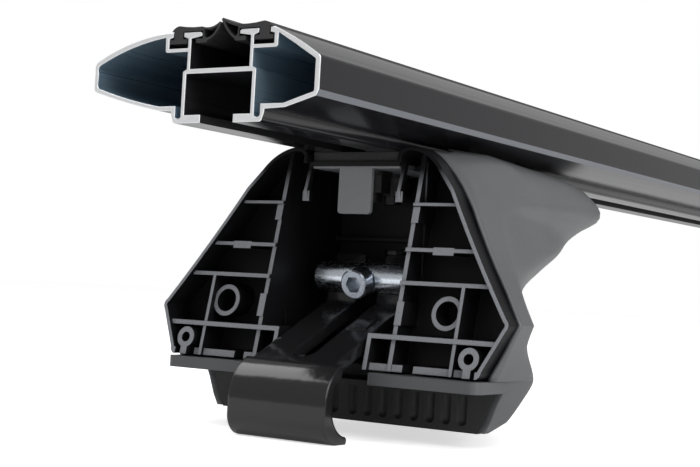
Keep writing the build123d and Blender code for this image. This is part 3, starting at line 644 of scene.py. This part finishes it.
def cowl_levels():
    """Heights of the cowl's rows, with a close pair where the skirt starts."""
    levels = [COWL_ROWS[0][0]]
    for here, there in zip(COWL_ROWS, COWL_ROWS[1:]):
        steps = max(2, round((here[0] - there[0]) / LEVEL_STEP))
        for step in range(1, steps + 1):
            level = here[0] + (there[0] - here[0]) * step / steps
            if there[0] == PLATE_TOP and step == steps:
                levels += [PLATE_TOP, PLATE_TOP - SKIRT_STEP]
            else:
                levels.append(level)
    return levels


def groove_height(y, z):
    """Height of the cowl's top beside and under the bar's flange."""
    side = min(1.0, max(0.0, (abs(y) - SADDLE_HALF - 0.1) / 0.8))
    return min(z, SADDLE_Z - GROOVE_GAP + (z - SADDLE_Z + GROOVE_GAP) * side)


def fill_cowl(bm):
    """Outer skin of a cowl: a grid of plans down its height, closed on top under the bar."""
    grid = []
    top = cowl_plan(COWL_ROWS[0][0])
    for share in TOP_SHARES:
        row = [(x, y * share) for x, y in top]
        grid.append([(x, y, groove_height(y, COWL_ROWS[0][0])) for x, y in row])
    for level in cowl_levels():
        grid.append([(x, y, groove_height(y, level)) for x, y in cowl_plan(level)])
    rows = []
    for row in grid:
        left = [bm.verts.new((x, y, z)) for x, y, z in row]
        right = [bm.verts.new((x, -y, z)) for x, y, z in row[:-1]]
        rows.append(left + right[::-1])
    for here, there in zip(rows, rows[1:]):
        for index in range(len(here) - 1):
            bm.faces.new((here[index], here[index + 1], there[index + 1], there[index]))
    hidden = []
    for face in bm.faces:
        x, y, z = face.calc_center_median()
        if x < CORE_BACK and abs(y) < CORE_HALF and z > SADDLE_Z - 2.0:
            hidden.append(face)
    bmesh.ops.remove_doubles(bm, verts=bm.verts, dist=0.02)
    hidden = [face for face in hidden if face.is_valid]
    bmesh.ops.delete(bm, geom=hidden, context="FACES")


def to_end(bm, sign):
    """Moves a foot's own frame to one end of the bar."""
    for vert in bm.verts:
        x, y, z = vert.co
        vert.co = ((x - HALF_LENGTH) * sign, y * sign, z + DATUM)


# Operators
class RACK_OT_stage(bpy.types.Operator):
    """Camera, floor, world and lamps"""

    bl_idname = "rack.stage"
    bl_label = "Stage"

    def execute(self, context):
        finishes = context.scene.rack_finishes
        scene = context.scene
        scene.view_settings.view_transform = "Standard"
        set_camera(scene)
        set_world(scene)
        set_floor(finishes.floor)
        set_lamps()
        return {"FINISHED"}


CAMERA_PLACE = (-0.915824, -0.250409, 0.046767)
CAMERA_YAW, CAMERA_PITCH, CAMERA_ROLL = 32.7576, 2.2735, 3.1187
CAMERA_LENS, CAMERA_SENSOR = 73.167, 36.0


def set_camera(scene):
    data = bpy.data.cameras.new("camera")
    data.lens = CAMERA_LENS
    data.sensor_width = CAMERA_SENSOR
    data.clip_start = 0.01
    data.clip_end = 50.0
    yaw, pitch, roll = (math.radians(angle) for angle in (CAMERA_YAW, CAMERA_PITCH, CAMERA_ROLL))
    ahead = Vector((math.cos(pitch) * math.cos(yaw), math.cos(pitch) * math.sin(yaw), math.sin(pitch)))
    level = Vector((math.sin(yaw), -math.cos(yaw), 0.0))
    over = level.cross(ahead)
    right = math.cos(roll) * level + math.sin(roll) * over
    up = -math.sin(roll) * level + math.cos(roll) * over
    turned = Matrix((right, up, -ahead)).transposed().to_4x4()
    camera = bpy.data.objects.new("camera", data)
    camera.matrix_world = Matrix.Translation(CAMERA_PLACE) @ turned
    scene.collection.objects.link(camera)
    scene.camera = camera


def ray_shares(tree):
    """1 for rays from the camera or through glass, and 1 for rays off gloss, else 0."""
    path = tree.nodes.new("ShaderNodeLightPath")
    seen = calculated(tree, "MAXIMUM", path.outputs["Is Camera Ray"], path.outputs["Is Transmission Ray"])
    return seen, path.outputs["Is Glossy Ray"]


WORLD_LIGHT = 0.4
GLOSS_LIGHT = 0.45


def set_world(scene):
    """White to the camera, softer to gloss, and a low even light on the object."""
    world = bpy.data.worlds.new("studio")
    scene.world = world
    world.use_nodes = True
    nodes, links = world.node_tree.nodes, world.node_tree.links
    shader = nodes["Background"]
    seen, glossy = ray_shares(world.node_tree)
    gloss = nodes.new("ShaderNodeMix")
    gloss.inputs["A"].default_value = WORLD_LIGHT
    gloss.inputs["B"].default_value = GLOSS_LIGHT
    links.new(glossy, gloss.inputs["Factor"])
    strength = nodes.new("ShaderNodeMix")
    strength.inputs["B"].default_value = 1.0
    links.new(seen, strength.inputs["Factor"])
    links.new(gloss.outputs["Result"], strength.inputs["A"])
    links.new(strength.outputs["Result"], shader.inputs["Strength"])
    shader.inputs["Color"].default_value = (1.0, 1.0, 1.0, 1.0)


FLOOR_HALF = 6.0
FLOOR_GLOW, FLOOR_GLOSS = 0.62, 0.1


def set_floor(pale):
    """A wide floor under the hooks that looks white in full light and keeps the rack's shadow."""
    half = FLOOR_HALF
    mesh = bpy.data.meshes.new("floor")
    low = CAD_BOX[0][2]
    mesh.from_pydata([(-half, -half, low), (half, -half, low), (half, half, low), (-half, half, low)], [],
                     [(0, 1, 2, 3)])
    floor = bpy.data.objects.new("floor", mesh)
    bpy.context.scene.collection.objects.link(floor)
    material = bpy.data.materials.new("floor_paint")
    material.use_nodes = True
    tree = material.node_tree
    nodes, links = tree.nodes, tree.links
    shader = nodes["Principled BSDF"]
    shader.inputs["Base Color"].default_value = (*pale, 1.0)
    shader.inputs["Roughness"].default_value = 0.9
    shader.inputs["Specular IOR Level"].default_value = 0.0
    seen, glossy = ray_shares(tree)
    strength = calculated(tree, "MAXIMUM", calculated(tree, "MULTIPLY", seen, FLOOR_GLOW),
                          calculated(tree, "MULTIPLY", glossy, FLOOR_GLOSS))
    glow = nodes.new("ShaderNodeEmission")
    glow.inputs["Color"].default_value = (1.0, 1.0, 1.0, 1.0)
    links.new(strength, glow.inputs["Strength"])
    both = nodes.new("ShaderNodeAddShader")
    links.new(shader.outputs[0], both.inputs[0])
    links.new(glow.outputs[0], both.inputs[1])
    links.new(both.outputs[0], nodes["Material Output"].inputs["Surface"])
    mesh.materials.append(material)


# Soft boxes as name, place and width in metres, and power in watts, and the place they are aimed at
SOFT_BOXES = (
    ("key", (-1.3, -0.9, 1.2), 0.9, 10.0),
    ("side", (-0.7, -1.5, 0.6), 0.8, 12.0),
    ("top", (-0.76, 0.93, 1.36), 0.9, 8.0))
LIT_PLACE = (-HALF_LENGTH * MM + 0.08, 0.0, 0.08)


def set_lamps():
    """Three soft boxes, from the front, the side and above, aimed at the near foot."""
    target = Vector(LIT_PLACE)
    for name, place, width, power in SOFT_BOXES:
        data = bpy.data.lights.new(name, "AREA")
        data.shape = "SQUARE"
        data.size = width
        data.energy = power
        lamp = bpy.data.objects.new(name, data)
        lamp.location = place
        lamp.rotation_euler = (target - Vector(place)).to_track_quat("-Z", "Y").to_euler()
        bpy.context.scene.collection.objects.link(lamp)


# Brightness of the channel finish against the outside, a painted shade in the slot, the grooves and the
# fixing channel, and radius of the seals' edges in metres
CHANNEL_SHADE_SHARE = 0.6
SEAL_ROUND = 0.00015


class RACK_OT_crossbar(bpy.types.Operator):
    """Extruded bar with sawn, bevelled ends"""

    bl_idname = "rack.crossbar"
    bl_label = "Crossbar"

    def execute(self, context):
        sizes, finishes = context.scene.rack_sizes, context.scene.rack_finishes
        materials = [anodised_finish("anodised_black", finishes.anodised, 0.2),
                     cut_finish("sawn_aluminium", finishes.cut),
                     anodised_finish("chamber_wall", finishes.chamber, 0.3, metal=0.7),
                     # Painted shade: the anodised colour darkened inside the slot, the grooves and the
                     # fixing channel
                     anodised_finish("shaded_channel_wall", [CHANNEL_SHADE_SHARE * part for part in finishes.anodised],
                                     0.45),
                     anodised_finish("painted_edge_highlight", finishes.edge, 0.25)]
        bevel = sizes.cut_bevel / MM
        bar = make_object("crossbar_extrusion", lambda bm: fill_crossbar(bm, bevel), materials, 25.0)
        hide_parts("crossbar")
        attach(bar, "bar")
        return {"FINISHED"}


class RACK_OT_seals(bpy.types.Operator):
    """Rubber seals of the accessory slot"""

    bl_idname = "rack.seals"
    bl_label = "Slot seals"

    def execute(self, context):
        rubber = rubber_finish("seal_rubber", context.scene.rack_finishes.rubber, SEAL_ROUND)
        for side in ("leading", "trailing"):
            paint_node(f"slot_seal_{side}", rubber)
        return {"FINISHED"}


class RACK_OT_cowls(bpy.types.Operator):
    """Textured cowl of each foot"""

    bl_idname = "rack.cowls"
    bl_label = "Cowls"

    def execute(self, context):
        sizes, finishes = context.scene.rack_sizes, context.scene.rack_finishes
        plastic = moulded_finish("cowl_plastic", finishes.cowl, 0.38, sizes.grain, sizes.edge_round)
        for end, sign in ENDS.items():
            def fill(bm, sign=sign):
                fill_cowl(bm)
                to_end(bm, sign)
            cowl = make_object(f"{end}_cowl_shell", fill, [plastic], 40.0)
            wall = cowl.modifiers.new("wall", "SOLIDIFY")
            wall.thickness = sizes.cowl_wall
            wall.offset = -1.0
            wall.use_even_offset = False
            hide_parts(f"{end}_cowl")
            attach(cowl, f"{end}_foot")
        return {"FINISHED"}


class RACK_OT_feet(bpy.types.Operator):
    """Core, plate, pad and saddle gasket of each foot"""

    bl_idname = "rack.feet"
    bl_label = "Feet"

    def execute(self, context):
        sizes, finishes = context.scene.rack_sizes, context.scene.rack_finishes
        core = core_finish("core_plastic", finishes.core, finishes.rib_light, sizes.grain, sizes.edge_round)
        plate = moulded_finish("plate_plastic", finishes.plate, 0.4, sizes.grain, sizes.edge_round)
        pad = rubber_finish("pad_rubber", finishes.pad, sizes.edge_round)
        for end in ENDS:
            paint_node(f"{end}_core", core)
            paint_node(f"{end}_base_plate", plate)
            paint_node(f"{end}_roof_pad", pad)
            paint_node(f"{end}_saddle_gasket", pad)
        return {"FINISHED"}


class RACK_OT_clamps(bpy.types.Operator):
    """Hook, dowel, screw, bracket and bolts of each clamp"""

    bl_idname = "rack.clamps"
    bl_label = "Clamps"

    def execute(self, context):
        sizes, finishes = context.scene.rack_sizes, context.scene.rack_finishes
        coat = coat_finish("hook_coat", finishes.hook, 0.12, sizes.hook_round)
        zinc = zinc_finish("zinc_plate", finishes.zinc, sizes.edge_round / 2)
        bare = coat_finish("screw_steel", finishes.screw, 0.3, sizes.edge_round / 2, metal=1.0)
        black = coat_finish("black_steel", finishes.bolts, 0.45, sizes.edge_round / 2)
        grey = coat_finish("bracket_steel", finishes.bracket, 0.6, sizes.edge_round / 2)
        for end in ENDS:
            paint_node(f"{end}_door_hook", coat)
            paint_node(f"{end}_clamp_bracket", grey)
            paint_node(f"{end}_clamp_screw", bare)
            for node in ("cross_dowel", "anchor_barrel"):
                paint_node(f"{end}_{node}", zinc)
            for node in ("t_bolt_outer", "t_bolt_inner", "bolt_washers", "bolt_nuts", "core_screws",
                         "cowl_screws"):
                paint_node(f"{end}_{node}", black)
        return {"FINISHED"}


STEPS = (RACK_OT_stage, RACK_OT_crossbar, RACK_OT_seals, RACK_OT_cowls, RACK_OT_feet, RACK_OT_clamps)


class RACK_PT_panel(bpy.types.Panel):
    """Buttons and settings of the roof rack"""

    bl_idname = "RACK_PT_panel"
    bl_label = "Roof Rack"
    bl_space_type = "VIEW_3D"
    bl_region_type = "UI"
    bl_category = "Roof Rack"

    def draw(self, context):
        layout = self.layout
        for step in STEPS:
            layout.operator(step.bl_idname)
        for group in (context.scene.rack_sizes, context.scene.rack_finishes):
            for name in group.__annotations__:
                layout.prop(group, name)


CLASSES = (RackSizes, RackFinishes, *STEPS, RACK_PT_panel)


def register():
    for one in CLASSES:
        bpy.utils.register_class(one)
    bpy.types.Scene.rack_sizes = PointerProperty(type=RackSizes)
    bpy.types.Scene.rack_finishes = PointerProperty(type=RackFinishes)


def unregister():
    del bpy.types.Scene.rack_finishes
    del bpy.types.Scene.rack_sizes
    for one in reversed(CLASSES):
        bpy.utils.unregister_class(one)


def main():
    register()
    bpy.ops.rack.stage()
    bpy.ops.rack.crossbar()
    bpy.ops.rack.seals()
    bpy.ops.rack.cowls()
    bpy.ops.rack.feet()
    bpy.ops.rack.clamps()


if __name__ == "__main__":
    main()
